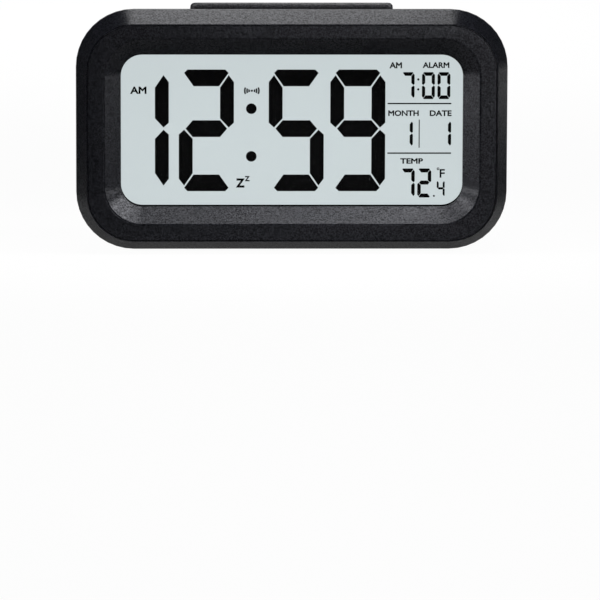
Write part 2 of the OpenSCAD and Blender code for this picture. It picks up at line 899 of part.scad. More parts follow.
module time_digits() {
    units_left = time_right - digit_w(digit_h);
    tens_left = units_left - digit_gap - digit_w(digit_h);
    hours_right = tens_left - colon_room;
    digit(9, time_right, time_low, digit_h);
    digit(5, units_left - digit_gap, time_low, digit_h);
    digit(2, hours_right, time_low, digit_h);
    digit(1, hours_right - digit_w(digit_h) - one_gap, time_low, digit_h);
    for (z = colon_z)
        dot(tens_left - colon_room / 2, z, colon_r);
}

module column_digits() {
    tens_right = alarm_right - column_wide * digit_w(alarm_digit_h) - alarm_gap;
    hour_right = tens_right - column_wide * digit_w(alarm_digit_h) - alarm_colon_room;
    tens_of_temp = temp_right - column_wide * digit_w(temp_digit_h) - alarm_gap;
    tenth_left = tenth_right - column_wide * digit_w(tenth_digit_h);
    digit(0, alarm_right, alarm_low, alarm_digit_h, column_wide);
    digit(0, tens_right, alarm_low, alarm_digit_h, column_wide);
    digit(7, hour_right, alarm_low, alarm_digit_h, column_wide);
    for (share = [0.36, 0.73])
        dot(hour_right + alarm_colon_room / 2, alarm_low + share * alarm_digit_h, alarm_colon_r);
    digit(1, date_right, date_low, date_digit_h, column_wide);
    digit(1, column_right, date_low, date_digit_h, column_wide);
    digit(2, temp_right, temp_low, temp_digit_h, column_wide);
    digit(7, tens_of_temp, temp_low, temp_digit_h, column_wide);
    dot(mix(temp_right, tenth_left, 0.5), temp_low + tenth_up + temp_point_r, temp_point_r);
    digit(4, tenth_right, temp_low + tenth_up, tenth_digit_h, column_wide);
    for (z = column_lines)
        translate([column_left, z])
        square([column_right - column_left, column_line_t]);
    translate([date_split, date_low - date_split_over])
    square([date_split_t, date_digit_h + 2 * date_split_over]);
}

module lcd_segments() {
    color("#101112")
    translate([0, 0, z_mid])
    along_y(y_lcd - segment_t, y_lcd) {
        time_digits();
        column_digits();
    }
}

module light_guide() {
    color("#e8f0f2", 0.6)
    translate([0, 0, z_mid])
    along_y(y_guide, y_film)
    translate([-guide_w / 2, guide_low])
    square([guide_w, guide_high - guide_low]);
}

module reflector_film() {
    color("#f4f4f2")
    translate([0, 0, z_mid])
    along_y(y_film, y_film + film_t)
    translate([-guide_w / 2, guide_low])
    square([guide_w, guide_high - guide_low]);
}

module backlight_leds() {
    color("#f2ecd0")
    for (x = [-1, 1], s = [-1, 1])
        translate([
            x * (guide_w / 2 + seat_gap + led_t / 2), y_board - led_depth / 2, z_mid + s * guide_high / 2
        ])
        cube([led_t, led_depth, led_l], center = true);
}

module zebra_connector() {
    color("#d58f9b")
    translate([-zebra_l / 2, y_lcd_mid, z_mid - glass_h / 2 + (ledge_h - zebra_h) / 2])
    cube([zebra_l, y_board - y_lcd_mid, zebra_h]);
}

// Main board and what is soldered to it
module main_board() {
    color("#2f6b3f")
    difference() {
        translate([0, 0, z_mid])
        along_y(y_board, y_board_back)
        rounded_rect(board_w, board_h, board_r);
        case_boss_places()
        rod_y(0, 0, y_board - cut, y_board_back + cut, case_boss_r + slide_gap);
        board_boss_places()
        rod_y(0, 0, y_board - cut, y_board_back + cut, board_screw_d / 2 + hole_gap);
    }
}

module clock_chip() {
    dome = [
        for (a = [0 : 15 : 90]) [chip_r * cos(a), y_board_back + chip_t * sin(a)]
    ];
    color("#161617")
    turned_y(chip_x, z_mid, concat([[0, y_board_back]], dome));
}

module quartz_crystal() {
    color("#b9bcc0")
    translate([crystal_x, y_board_back + crystal_r, z_mid + crystal_rise])
    cylinder(h = crystal_l, r = crystal_r);
}

module board_capacitor() {
    groove = y_board_back + capacitor_base;
    color("#25304a")
    turned_y(capacitor_x, z_mid + crystal_rise, [
        [0, y_board_back], [capacitor_r, y_board_back], [capacitor_r, groove],
        [capacitor_r - capacitor_groove, groove + capacitor_groove],
        [capacitor_r, groove + 2 * capacitor_groove],
        [capacitor_r, y_board_back + capacitor_l], [0, y_board_back + capacitor_l]
    ]);
}

module light_sensor() {
    color("#3a2a2a")
    translate([0, 0, z_mid + guide_high - led_l])
    turned_y(-guide_w / 2 - seat_gap - led_t / 2, 0, [
        [0, y_board - led_depth], [led_t / 2 - 0.2, y_board - led_depth + 0.3],
        [led_t / 2, y_board - 1], [led_t / 2, y_board], [0, y_board]
    ]);
}

module thermistor() {
    color("#2b2b20") {
        translate([thermistor_x, y_board_back + thermistor_l, z_mid - thermistor_drop])
        sphere(thermistor_r);
        for (s = [-1, 1])
            rod_y(
                thermistor_x + s * thermistor_leg_x, z_mid - thermistor_drop,
                y_board_back, y_board_back + thermistor_l, thermistor_leg_r
            );
    }
}

module board_screws() {
    color("#a8abb0")
    board_boss_places()
    screw(0, 0, y_board_back, board_screw_d, board_screw_l, board_head_r, board_head_t);
}

module case_screws() {
    color("#8f9297")
    case_boss_places()
    screw(0, 0, y_board + case_boss_floor, case_screw_d, case_screw_l, case_head_r, case_head_t);
}

// Key board, its switches and the ribbon to the main board
module key_board() {
    color("#2f6b3f")
    difference() {
        along_y(y_key_front, y_key_board)
        translate([-key_board_w / 2, key_z - key_board_h / 2])
        square([key_board_w, key_board_h]);
        for (x = [-1, 1])
            rod_y(
                x * key_boss_x, key_boss_z, y_key_front - cut, y_key_board + cut,
                board_screw_d / 2 + hole_gap
            );
    }
}

module key_board_screws() {
    color("#a8abb0")
    for (x = [-1, 1])
        translate([x * key_boss_x, y_key_front, key_boss_z])
        rotate([0, 0, 180])
        screw(0, 0, 0, board_screw_d, board_screw_l, board_head_r, board_head_t);
}

module key_switches() {
    color("#34363a")
    for (x = key_x)
        difference() {
            translate([x - switch_a / 2, y_key_board, key_z - switch_a / 2])
            cube([switch_a, switch_h, switch_a]);
            rod_y(
                x, key_z, y_stem - stem_proud - stem_sunk - key_travel - hole_gap, y_stem, stem_r + hole_gap
            );
        }
}

module snooze_switch() {
    color("#34363a")
    difference() {
        translate([-switch_a / 2, y_key_front - snooze_switch_d, snooze_switch_z - switch_a])
        cube([switch_a, snooze_switch_d, switch_a]);
        translate([0, snooze_switch_y, snooze_switch_z - stem_sunk - snooze_travel - hole_gap])
        cylinder(h = switch_a, r = snooze_stem_r + hole_gap);
    }
}

module sensor_switch() {
    color("#b9bcc0")
    difference() {
        translate([sensor_x - sensor_body_l / 2, y_key_board, key_z - sensor_body_h / 2])
        cube([sensor_body_l, switch_h, sensor_body_h]);
        translate([sensor_x, y_key_board + switch_h, key_z])
        cube([
            sensor_lever_a + sensor_travel + 2 * hole_gap, 2 * (stem_sunk + hole_gap),
            sensor_lever_a + 2 * hole_gap
        ], center = true);
    }
}

module board_ribbon() {
    low = key_z - ribbon_drop;
    high = key_z - ribbon_rise;
    path = concat(
        [[y_board_back, low]],
        bezier_path(
            [y_board_back + ribbon_t, low], [y_board_back + ribbon_lead, low],
            [y_key_front - ribbon_lead, high], [y_key_front - ribbon_t, high], wire_rings
        ),
        [[y_key_front, high]]
    );
    last = len(path) - 1;
    sides = [
        for (i = [0 : last])
        let (t = tangent(path, i))
        ribbon_t / 2 * [-t[1], t[0]]
    ];
    upper = [for (i = [0 : last]) path[i] + sides[i]];
    lower = [for (i = [last : -1 : 0]) path[i] - sides[i]];
    color("#9aa0a8")
    translate([ribbon_x - ribbon_w / 2, 0, 0])
    rotate([90, 0, 90])
    linear_extrude(ribbon_w)
    polygon(concat(upper, lower));
}

// Sounder behind the hole pattern
module speaker_frame() {
    back = y_rear_in - speaker_depth;
    web = y_rear_in - speaker_web_y;
    rim = y_rear_in - speaker_rim_t;
    inner_r = speaker_r - speaker_flange;
    color("#3b3d41")
    turned_y(speaker_x, speaker_z, [
        [inner_r, y_rear_in], [speaker_r, y_rear_in], [speaker_r, rim], [speaker_r - speaker_slope, web],
        [speaker_r / 2, web], [speaker_r / 2, back], [0, back], [0, web + speaker_web],
        [speaker_r / 2, web + speaker_web], [inner_r, rim + speaker_web]
    ]);
}

module speaker_cone() {
    outer_r = speaker_r - cone_edge;
    face = [
        [0, cone_dome], [speaker_r / 3, cone_dome], [speaker_r / 2, cone_valley],
        [outer_r - cone_roll, cone_top], [outer_r, cone_top]
    ];
    back = [for (i = [len(face) - 1 : -1 : 0]) [face[i][0], face[i][1] + cone_t]];
    color("#d8d2b8")
    turned_y(speaker_x, speaker_z, [for (p = concat(face, back)) [p[0], y_rear_in - p[1]]]);
}

module wire(from, to, lead) {
    straight = [0, wire_d, 0];
    path = concat(
        [from],
        bezier_path(from - straight, from - [0, lead, 0], to + [0, lead, 0], to + straight, wire_rings),
        [to]
    );
    hints = [for (p = path) [0, 0, 1]];
    tube(path, hints, wire_d, wire_sides);
}

module speaker_leads() {
    color("#b23a33")
    for (s = [-1, 1])
        wire(
            [speaker_x, y_rear_in - speaker_depth, speaker_z + s * wire_d],
            [speaker_x - speaker_lead_in, y_board_back, speaker_z + s * wire_d], wire_lead
        );
}

// Battery contacts, springs, leads and cells
spring_path = concat(
    [[-plate_metal / 2, spring_base_r, 0]],
    [
        for (i = [0 : spring_turns * spring_rings])
        let (t = i / (spring_turns * spring_rings), a = 360 * i / spring_rings,
             r = mix(spring_base_r, spring_tip_r, t))
        [spring_wire + t * spring_rise, r * cos(a), r * sin(a)]
    ],
    [[spring_room - contact_gap, spring_tip_r, 0]]
);
spring_gap = least_gap(spring_path, spring_wire, spring_rings / 2);
echo(str("battery spring, least gap to itself in mm: ", spring_gap));

module battery_spring(side, z) {
    hints = [for (p = spring_path) [0, p[1], p[2]]];
    translate([side * (bay_l / 2 - plate_metal), y_cell, z])
    rotate([0, 0, side > 0 ? 180 : 0])
    tube(spring_path, hints, spring_wire, 6);
}

module contact_plate(side, z0, z1) {
    translate([side * (bay_l / 2 - plate_metal / 2), y_cell, (z0 + z1) / 2])
    cube([plate_metal, plate_h_contact, z1 - z0 + plate_h_contact], center = true);
}

module contact_dimple(side, z) {
    translate([side * (bay_l / 2 - plate_metal), y_cell, z])
    rotate([0, -90 * side, 0])
    cylinder(h = dimple_h, r1 = dimple_r + dimple_flare, r2 = dimple_r - dimple_flare);
}

module contact_tail(side, z) {
    translate([
        side * (bay_l / 2 - plate_metal / 2) - plate_metal / 2, y_bay - bay_floor_t - tail_l, z - tail_w / 2
    ])
    cube([plate_metal, bay_floor_t + tail_l + cell_d / 2, tail_w]);
}

module contact_positive() {
    color("#c8ccd0") {
        contact_plate(cell_side(0), cell_z(0), cell_z(0));
        contact_dimple(cell_side(0), cell_z(0));
        contact_tail(cell_side(0), cell_z(0));
    }
}

module contact_negative() {
    last = cell_count - 1;
    color("#c8ccd0") {
        contact_plate(-cell_side(last), cell_z(last), cell_z(last));
        battery_spring(-cell_side(last), cell_z(last));
        contact_tail(-cell_side(last), cell_z(last));
    }
}

module contact_bridges() {
    color("#c8ccd0")
    for (i = [0 : cell_count - 2]) {
        contact_plate(-cell_side(i), cell_z(i), cell_z(i + 1));
        battery_spring(-cell_side(i), cell_z(i));
        contact_dimple(-cell_side(i), cell_z(i + 1));
    }
}

module battery_leads() {
    color("#b23a33")
    for (end = [[cell_side(0), cell_z(0)], [-cell_side(cell_count - 1), cell_z(cell_count - 1)]])
        wire(
            [end[0] * (bay_l / 2 - plate_metal / 2), y_bay - bay_floor_t - tail_l, end[1]],
            [end[0] * (bay_l / 2 + battery_lead_out), y_board_back, end[1]], wire_lead
        );
}

module battery_cell(i) {
    tip = bay_l / 2 - plate_metal - dimple_h - contact_gap;
    color("#7d8288")
    translate([0, y_cell, cell_z(i)])
    rotate([0, 90 * cell_side(i), 0])
    translate([0, 0, tip - cell_l])
    rotate_extrude()
    polygon([
        [0, 0], [cell_d / 2 - cell_edge, 0], [cell_d / 2, cell_edge],
        [cell_d / 2, cell_l - nub_l - cell_edge], [cell_d / 2 - cell_edge, cell_l - nub_l],
        [nub_r, cell_l - nub_l], [nub_r, cell_l], [0, cell_l]
    ]);
}

module battery_cell_1() { battery_cell(0); }
module battery_cell_2() { battery_cell(1); }
module battery_cell_3() { battery_cell(2); }

// Feet
module rubber_feet() {
    color("#2c2c2d")
    foot_places()
    cylinder(h = foot_proud + foot_sunk, r = foot_d / 2);
}

// Snooze bar: a hollow cap that follows the slope of the top, with a hook at each end
module snooze_outside() {
    hull() {
        translate([0, snooze_y, top_z(snooze_y) + snooze_proud])
        rotate([-atan(top_slope), 0, 0]) {
            for (a = [0 : 22.5 : 90])
                snooze_slice(-snooze_edge * (1 - sin(a)), snooze_edge * (1 - cos(a)));
            snooze_slice(-snooze_h, 0);
        }
    }
}

// One slice of the bar that leans with the top and still keeps its plan
module snooze_slice(z, inset) {
    half_y = norm([1, top_slope]) * (snooze_d / 2 - snooze_r);
    for (x = [-1, 1], y = [-1, 1])
        translate([x * (snooze_w / 2 - snooze_r), y * half_y - top_slope * z, z - thin])
        cylinder(h = thin, r = snooze_r - inset, $fn = 32);
}

module snooze_hollow() {
    intersection() {
        translate([0, snooze_y, rear_top - wall - snooze_h])
        linear_extrude(body_h)
        rounded_rect(snooze_w - 2 * snooze_wall, snooze_d - 2 * snooze_wall, snooze_r / 2);
        translate([0, snooze_y, top_z(snooze_y) + snooze_proud - snooze_roof])
        rotate([-atan(top_slope), 0, 0])
        translate([-snooze_w / 2, -snooze_d, -body_h])
        cube([snooze_w, 2 * snooze_d, body_h]);
    }
}

module snooze_bar() {
    color("#232426") {
        difference() {
            snooze_outside();
            snooze_hollow();
        }
        translate([0, snooze_switch_y, snooze_stem_z])
        cylinder(
            h = top_z(snooze_switch_y) + snooze_proud - snooze_roof / 2 - snooze_stem_z, r = snooze_post_r
        );
        for (s = [-1, 1])
            translate([
                s * (snooze_w / 2 + snooze_hook / 2 - snooze_wall / 4), snooze_y,
                snooze_hook_z - snooze_hook_t / 2
            ])
            cube([snooze_hook + snooze_wall / 2, snooze_hook_l, snooze_hook_t], center = true);
    }
}

module snooze_stem() {
    color("#d7d2c4")
    translate([0, snooze_switch_y, snooze_switch_z - stem_sunk])
    cylinder(h = snooze_stem_z - snooze_switch_z + stem_sunk, r = snooze_stem_r);
}

// Rear keys and their switch stems
module key_cap(x) {
    round_over = [
        for (a = [90 : -30 : 0]) [-edge_round * (1 - sin(a)), body_d / 2 - edge_round * (1 - cos(a))]
    ];
    color("#2d2e31")
    translate([x, 0, key_z]) {
        swept_block(key_l, key_h, key_h / 2, concat([[0, y_rear_in - key_flange_t / 2]], round_over));
        along_y(y_rear_in - key_flange_t, y_rear_in)
        stadium(key_l + 2 * key_flange, key_h + 2 * key_flange);
        rod_y(0, 0, y_stem, y_rear_in, key_post_r);
    }
}

module key_stem(x) {
    color("#d7d2c4")
    rod_y(x, key_z, y_stem - stem_proud - stem_sunk, y_stem, stem_r);
}

module mode_button() { key_cap(key_x[0]); }
module mode_stem() { key_stem(key_x[0]); }
module set_button() { key_cap(key_x[1]); }
module set_stem() { key_stem(key_x[1]); }
module up_button() { key_cap(key_x[2]); }
module up_stem() { key_stem(key_x[2]); }
module down_button() { key_cap(key_x[3]); }
module down_stem() { key_stem(key_x[3]); }

// Light-sensor switch: the knob and the lever move together
module sensor_knob() {
    color("#2d2e31")
    translate([sensor_x - sensor_travel / 2, 0, key_z]) {
        along_y(y_sensor_plate, y_rear + sensor_knob_proud)
        square([sensor_knob_l, sensor_knob_h], center = true);
        along_y(y_sensor_plate, y_sensor_plate + sensor_plate_t)
        square([sensor_plate_l, sensor_plate_h], center = true);
    }
}

module sensor_lever() {
    color("#d7d2c4")
    translate([sensor_x - sensor_travel / 2, 0, key_z])
    along_y(y_key_board + switch_h - stem_sunk, y_sensor_plate)
    square(sensor_lever_a, center = true);
}

// Battery door: turns on its round lower edge, with two hooks behind the wall
door_reach = norm([y_rear - door_edge - (y_rear_in - seat_gap - tab_t), tab_drop + door_edge]);

module battery_door() {
    color("#26272a")
    difference() {
        union() {
            translate([0, 0, door_z + door_edge])
            along_y(y_door_in, y_rear)
            translate([-door_w / 2, 0])
            square([door_w, door_h - door_edge - door_r]);
            translate([0, 0, door_z + door_h / 2])
            along_y(y_door_in, y_rear)
            translate([-door_w / 2 + door_r, 0])
            square([door_w - 2 * door_r, door_h / 2]);
            for (x = [-1, 1])
                rod_y(x * (door_w / 2 - door_r), door_z + door_h - door_r, y_door_in, y_rear, door_r);
            translate([-door_w / 2, y_rear - door_edge, door_z + door_edge])
            rotate([0, 90, 0])
            cylinder(h = door_w, r = door_edge);
            for (x = [-tab_x, tab_x]) {
                translate([x - tab_w / 2, y_rear_in - seat_gap - tab_t, door_z - tab_drop])
                cube([tab_w, tab_t, tab_drop + tab_rise]);
                translate([x - tab_w / 2, y_rear_in - seat_gap - tab_t, door_z + door_edge])
                cube([tab_w, y_rear - door_edge - (y_rear_in - seat_gap - tab_t), tab_rise - door_edge]);
            }
            for (i = [0 : ridge_count - 1])
                translate([-ridge_l / 2, y_rear - thin, door_z + door_h - ridge_drop - ridge_pitch * i])
                cube([ridge_l, ridge_h + thin, ridge_t]);
        }
        for (x = [-1, 1])
            translate([
                x * (tongue_w + tongue_slot) / 2 - tongue_slot / 2, y_door_in - cut,
                door_z + door_h - tongue_l
            ])
            cube([tongue_slot, door_t + 2 * cut, tongue_l + cut]);
    }
}

rear_housing();
front_bezel();
display_window();
lcd_panel();
lcd_segments();
light_guide();
reflector_film();
backlight_leds();
zebra_connector();
main_board();
clock_chip();
quartz_crystal();
board_capacitor();
light_sensor();
thermistor();
board_screws();
key_board();
key_board_screws();
key_switches();
snooze_switch();
sensor_switch();
board_ribbon();
speaker_frame();
speaker_cone();
speaker_leads();
contact_positive();
contact_negative();
contact_bridges();
battery_leads();
battery_cell_1();
battery_cell_2();
battery_cell_3();
case_screws();
rubber_feet();
snooze_bar();
snooze_stem();
mode_button();
mode_stem();
set_button();
set_stem();
up_button();
up_stem();
down_button();
down_stem();
sensor_knob();
sensor_lever();
battery_door();
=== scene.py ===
"""Looks of the LCD alarm clock: finishes for every solid, display legends, floor, light and camera."""
import json
import math

import bmesh
import bpy
from mathutils import Matrix, Vector


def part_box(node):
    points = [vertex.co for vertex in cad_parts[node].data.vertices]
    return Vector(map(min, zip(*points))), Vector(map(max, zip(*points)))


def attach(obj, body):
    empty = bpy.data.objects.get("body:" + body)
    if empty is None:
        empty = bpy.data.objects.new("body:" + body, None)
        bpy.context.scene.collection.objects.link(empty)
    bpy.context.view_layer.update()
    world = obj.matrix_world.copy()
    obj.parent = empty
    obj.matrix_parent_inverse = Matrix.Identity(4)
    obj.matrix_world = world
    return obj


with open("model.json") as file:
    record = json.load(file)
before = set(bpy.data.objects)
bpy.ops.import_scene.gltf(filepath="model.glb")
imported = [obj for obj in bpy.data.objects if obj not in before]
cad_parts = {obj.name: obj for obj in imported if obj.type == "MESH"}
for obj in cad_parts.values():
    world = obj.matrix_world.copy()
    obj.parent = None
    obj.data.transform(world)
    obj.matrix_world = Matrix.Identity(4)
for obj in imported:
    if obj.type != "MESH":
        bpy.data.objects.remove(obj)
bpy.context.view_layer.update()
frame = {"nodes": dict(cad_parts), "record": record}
scene = bpy.context.scene
MM = 0.001

# Camera: where the photograph was taken from, and the pixel that its target falls on; lengths are in metres,
# and the sensor's width is in mm
IMAGE_SIZE = 600
TARGET = Vector((0, -15 * MM, 38 * MM))
TARGET_PIXEL = (291.8, 130.3)
VIEW_YAW = math.radians(1.26)
VIEW_ELEVATION = math.radians(6.9)
VIEW_ROLL = math.radians(0.15)
VIEW_DISTANCE = 1.69
VIEW_REACH = 100
FOCAL_PIXELS = 5437
SENSOR_WIDTH = 36

# Stroke weights of the legends, as shares of the type size
WORD_WEIGHT = 0.036
SLEEP_WEIGHT = 0.05
UNIT_WEIGHT = 0.02

# Display legends: text, left, right, low and high edge in mm from the middle of the display, stroke weight
LEGENDS = [
    ("AM", -50.2, -45.1, 11.2, 13.5, WORD_WEIGHT),
    ("Z", -17.4, -14.6, -18.1, -15.2, SLEEP_WEIGHT),
    ("Z", -14.65, -13.05, -16.1, -14.45, SLEEP_WEIGHT),
    ("AM", 30.2, 34.1, 19.2, 21.1, WORD_WEIGHT),
    ("ALARM", 40.5, 48.8, 19.3, 21.1, WORD_WEIGHT),
    ("MONTH", 29.9, 39.4, 4.3, 6.1, WORD_WEIGHT),
    ("DATE", 42.8, 49.6, 4.3, 6.1, WORD_WEIGHT),
    ("TEMP", 33.7, 40.8, -10.6, -8.9, WORD_WEIGHT),
    ("F", 46.0, 47.6, -15.0, -12.3, UNIT_WEIGHT),
]

# Letters: steps of their curves, and the gap that is welded, as a share of the type size
LETTER_STEPS = 4
LETTER_WELD = 1e-5

# Degree sign and alarm mark: places and sizes in mm on the display, turns in degrees
DEGREE_MIDDLE = (45.5, -12.2)
DEGREE_RADIUS = 0.3
DEGREE_LINE = 0.24
DEGREE_ENDS = (0, 350)
DEGREE_STEPS = 16
BELL_MIDDLE = (-12.45, 12.2)
BELL_DOT = 0.34
BELL_DOT_STEPS = 20
BELL_RINGS = (0.86, 1.5, 2.2)
BELL_FACINGS = (0, 180)
BELL_HALF_ANGLE = 27
BELL_LINE = 0.5
BELL_STEPS = 10

# Black border of the display in mm: the window's edge that the bezel hides, the corner radius of the rest,
# how far the border shows at the sides and at the top and bottom, and how far it runs on out of sight
WINDOW_EDGE = 1.7
WINDOW_RADIUS = 6.7
BORDER_SIDE = 0.04
BORDER_TOP = 0.35
BORDER_HIDDEN = 1.2
CORNER_STEPS = 12

# Shading of the solids: the angle in degrees from which an edge stays sharp, the gap in mm that is welded,
# and how much more a large face counts than a small one
SHARP_ANGLE = 32
WELD_GAP = 0.002
LARGE_FACE_WEIGHT = 60

# Plastics: tints of their gloss, scale in waves per metre and relief in mm of the grain, scale of the clouds
# and how far they change the roughness, and the case's parting line with the blur of its edge
WHITE = (1, 1, 1)
COOL = (0.92, 0.93, 1)
GRAIN_SCALE = 1900
GRAIN_RELIEF = 0.02
CLOUD_SCALE = 60
CLOUD_SWING = 0.04
PARTING_Y = -14.3 * MM
PARTING_BLUR = 0.2 * MM

# Clear plastics: scale and shade of the haze, how much it roughens them, and their gloss
HAZE_SCALE = 90
HAZE_SHADE = 0.94
HAZE_ROUGHENING = 0.03
CLEAR_GLOSS = 0.06

# Metals: scale, relief and change of roughness of the streaks, scale and shades of the tarnish
STREAK_SCALE = 900
STREAK_RELIEF = 0.01
STREAK_SWING = (-0.06, 0.1)
TARNISH_SCALE = 120
TARNISH_SHADES = (0.82, 1.05)

# Display glass: scale and shades of its sparkle, its roughness and its gloss
SPARKLE_SCALE = 5000
SPARKLE_SHADES = (0.985, 1.01)
DISPLAY_ROUGHNESS = (0.5, 0.6)
DISPLAY_GLOSS = 0.05

# Circuit boards: scale, width and relief of the traces, second shade, stain and roughness of the mask
TRACE_SCALE = 180
TRACE_WIDTH = 0.04
TRACE_RELIEF = 0.03
MASK_SHADE = 0.85
MASK_SCALE = 300
MASK_ROUGHNESS = (0.28, 0.4)

# Dry cells: scale and relief of the jacket's mottle, its roughness and its share of metal
JACKET_SCALE = 700
JACKET_RELIEF = 0.01
JACKET_ROUGHNESS = (0.28, 0.38)
JACKET_METAL = 0.6

# Colours and gloss of the finishes, in tables by material slot where several share a kind
FRONT_FINISH = dict(colour=(0.0024, 0.0026, 0.0037), roughness=0.28, gloss=0.106)
# The back's matt texture is real, but its colour is painted lighter than the front's, to make up for the
# little light that reaches the rear
BACK_FINISH_WITH_PAINTED_LIGHT = dict(colour=(0.011, 0.011, 0.012), roughness=0.42, gloss=0.25)
CASE_CONTRAST = 0.62
# The display's glow is painted light: an emission that stands for a backlight and keeps the display evenly
# bright, with only a tenth of its colour lit by the lamps
DISPLAY_FINISH = dict(colour=(0.36, 0.401, 0.409), shade=0.1, painted_glow=1.64)
BOARD_FINISH = dict(colour=(0.02, 0.11, 0.04), trace_colour=(0.05, 0.2, 0.08))
CELL_FINISH = dict(dark=(0.2, 0.22, 0.25), light=(0.26, 0.28, 0.31))
PLASTICS = {
    "bezel_plastic": dict(**FRONT_FINISH, contrast=CASE_CONTRAST, tint=COOL),
    "snooze_plastic": dict(colour=(0.015, 0.015, 0.017), roughness=0.4, gloss=0.16, contrast=0.5),
    "key_plastic": dict(colour=(0.032, 0.032, 0.034), roughness=0.34, gloss=0.5),
    "segment_black": dict(colour=(0.001, 0.001, 0.0011), roughness=0.6, gloss=0.02),
    "film_white": dict(colour=(0.82, 0.82, 0.8), roughness=0.5, contrast=0.03),
    "led_resin": dict(colour=(0.78, 0.7, 0.4), roughness=0.3, contrast=0.08),
    "zebra_rubber": dict(colour=(0.62, 0.3, 0.34), roughness=0.7, contrast=0.1),
    "chip_resin": dict(colour=(0.008, 0.008, 0.008), roughness=0.25, relief=0.05),
    "capacitor_sleeve": dict(colour=(0.01, 0.02, 0.07), roughness=0.35),
    "switch_plastic": dict(colour=(0.03, 0.031, 0.034), roughness=0.4),
    "stem_plastic": dict(colour=(0.66, 0.62, 0.52), roughness=0.4, contrast=0.06),
    "ribbon_grey": dict(colour=(0.3, 0.31, 0.33), roughness=0.5, contrast=0.08),
    "wire_sleeve": dict(colour=(0.4, 0.04, 0.03), roughness=0.45, contrast=0.1),
    "foot_rubber": dict(colour=(0.014, 0.014, 0.014), roughness=0.8, gloss=0.2),
}
CLEAR_PLASTICS = {
    "window_clear": dict(colour=(0.02, 0.021, 0.022), roughness=0.08, alpha=0.03),
    "guide_clear": dict(colour=(0.85, 0.9, 0.92), roughness=0.1, alpha=0.5),
    "speaker_film": dict(colour=(0.6, 0.55, 0.4), roughness=0.3, alpha=0.9),
}
METALS = {
    "can_metal": dict(colour=(0.6, 0.61, 0.63), roughness=0.3),
    "screw_steel": dict(colour=(0.42, 0.42, 0.44), roughness=0.35),
    "speaker_metal": dict(colour=(0.12, 0.12, 0.13), roughness=0.4),
    "contact_nickel": dict(colour=(0.68, 0.67, 0.64), roughness=0.28),
}

# Floor: its size in metres, its paper, and the share of white that the camera sees and that gloss sees,
# which for gloss fades out between two distances from the middle line. The share for gloss is a painted
# reflection: a strip of floor that glows only to gloss and glass, so that the case's lower band shows white
# where the floor lies in its shadow
FLOOR_RADIUS = 15
FLOOR_SIDES = 64
FLOOR_COLOUR = (0.5, 0.5, 0.5)
PAPER_SCALE = 400
PAPER_SHADE = 0.995
PAPER_ROUGHNESS = 0.9
WHITE_TO_CAMERA = 0.97
WHITE_TO_GLOSS = 0.32
GLOSS_FADE = (0.045, 0.08)

# World: the room's light at the horizon and overhead, and the sines of the elevations that it fades between
HORIZON_LIGHT = (0.08, 0.08, 0.08)
CEILING_LIGHT = (0.04, 0.04, 0.04)
ROOM_FADE = (0, 0.5)

# Softboxes: name, place, point aimed at, width and depth in metres, level of the face, spread in degrees
OVERHEAD_SOFTBOXES = [
    ("floor_softbox", (0, -0.47, 0.34), (0, -0.47, 0), (0.24, 0.5), 4, 90),
    ("far_softbox", (0, 0.7, 0.34), (0, 0.7, 0), (0.3, 0.6), 16, 90),
    ("side_softbox", (0.42, 0.33, 0.3), (0.42, 0.33, 0), (0.2, 0.2), 36, 60),
    ("rear_softbox", (0.001, 0.16, 0.34), (-0.02, -0.018, 0.075), (0.158, 0.3), 8.8, 54),
    ("rear_left_softbox", (-0.04, 0.16, 0.339), (-0.04, -0.018, 0.075), (0.076, 0.3), 1.6, 54),
    ("top_softbox", (0, -0.09, 0.33), (0, -0.02, 0.012), (0.19, 0.12), 6.4, 40),
    ("top_right_softbox", (0.06, -0.09, 0.325), (0.06, -0.02, 0.012), (0.1, 0.12), 12, 40),
]
LOW_SOFTBOXES = [
    ("left_softbox", (-0.4, -0.11, 0.06), (0.06, -0.02, 0.06), (0.12, 0.12), 18.5, 40),
    ("right_softbox", (0.4, -0.11, 0.06), (-0.06, -0.02, 0.06), (0.12, 0.12), 10.2, 40),
    ("front_softbox", (0.12, -0.75, 0.03), (0, 0, 0.04), (0.2, 0.06), 19, 60),
]

# Fans of softboxes: the corner that they aim at, their turns in degrees from upright, their distance, how far
# they stand ahead of the corner, the size and spread of one panel, and the levels of each fan
FAN_CORNER = (0.055, -0.02, 0.015)
FAN_TURNS = (16, 37, 59)
FAN_REACH = 0.36
FAN_AHEAD = Vector((0, -0.06, 0))
FAN_PANEL = (0.12, 0.15)
FAN_SPREAD = 32
LEFT_FAN_LEVELS = (16, 20, 29)
RIGHT_FAN_LEVELS = (20, 36, 31)

# Sun: the way that its light goes, its width in degrees and its strength
SUN_DIRECTION = Vector((-0.25, 0.85, -0.42))
SUN_ANGLE = 40
SUN_STRENGTH = 0.4

# Spans of values: where a noise has most of its values, a narrower one for grain, and a whole factor
NOISE_SPAN = (0.3, 0.7)
GRAIN_SPAN = (0.36, 0.64)
FULL_SPAN = (0, 1)

# The sockets for colours among those of a Mix node
MIX_FACTOR = 0
MIX_COLOURS = slice(6, 8)
MIX_RESULT = 2


# Node helpers
def new_material(name):
    """A node material, with its shader and its texture coordinate."""
    material = bpy.data.materials.new(name)
    material.use_nodes = True
    tree = material.node_tree
    shader = tree.nodes["Principled BSDF"]
    coordinate = tree.nodes.new("ShaderNodeTexCoord")
    return material, tree, shader, coordinate


def feed(tree, socket, value):
    """Sets a socket to a number, or links it to another node's output."""
    if isinstance(value, (int, float)):
        socket.default_value = value
    else:
        tree.links.new(value, socket)


def noise(tree, coordinate, scale, detail=2, roughness=0.5):
    """A noise over the object's own coordinates; scale is in waves per metre."""
    node = tree.nodes.new("ShaderNodeTexNoise")
    node.inputs["Scale"].default_value = scale
    node.inputs["Detail"].default_value = detail
    node.inputs["Roughness"].default_value = roughness
    tree.links.new(coordinate.outputs["Object"], node.inputs["Vector"])
    return node.outputs["Fac"]


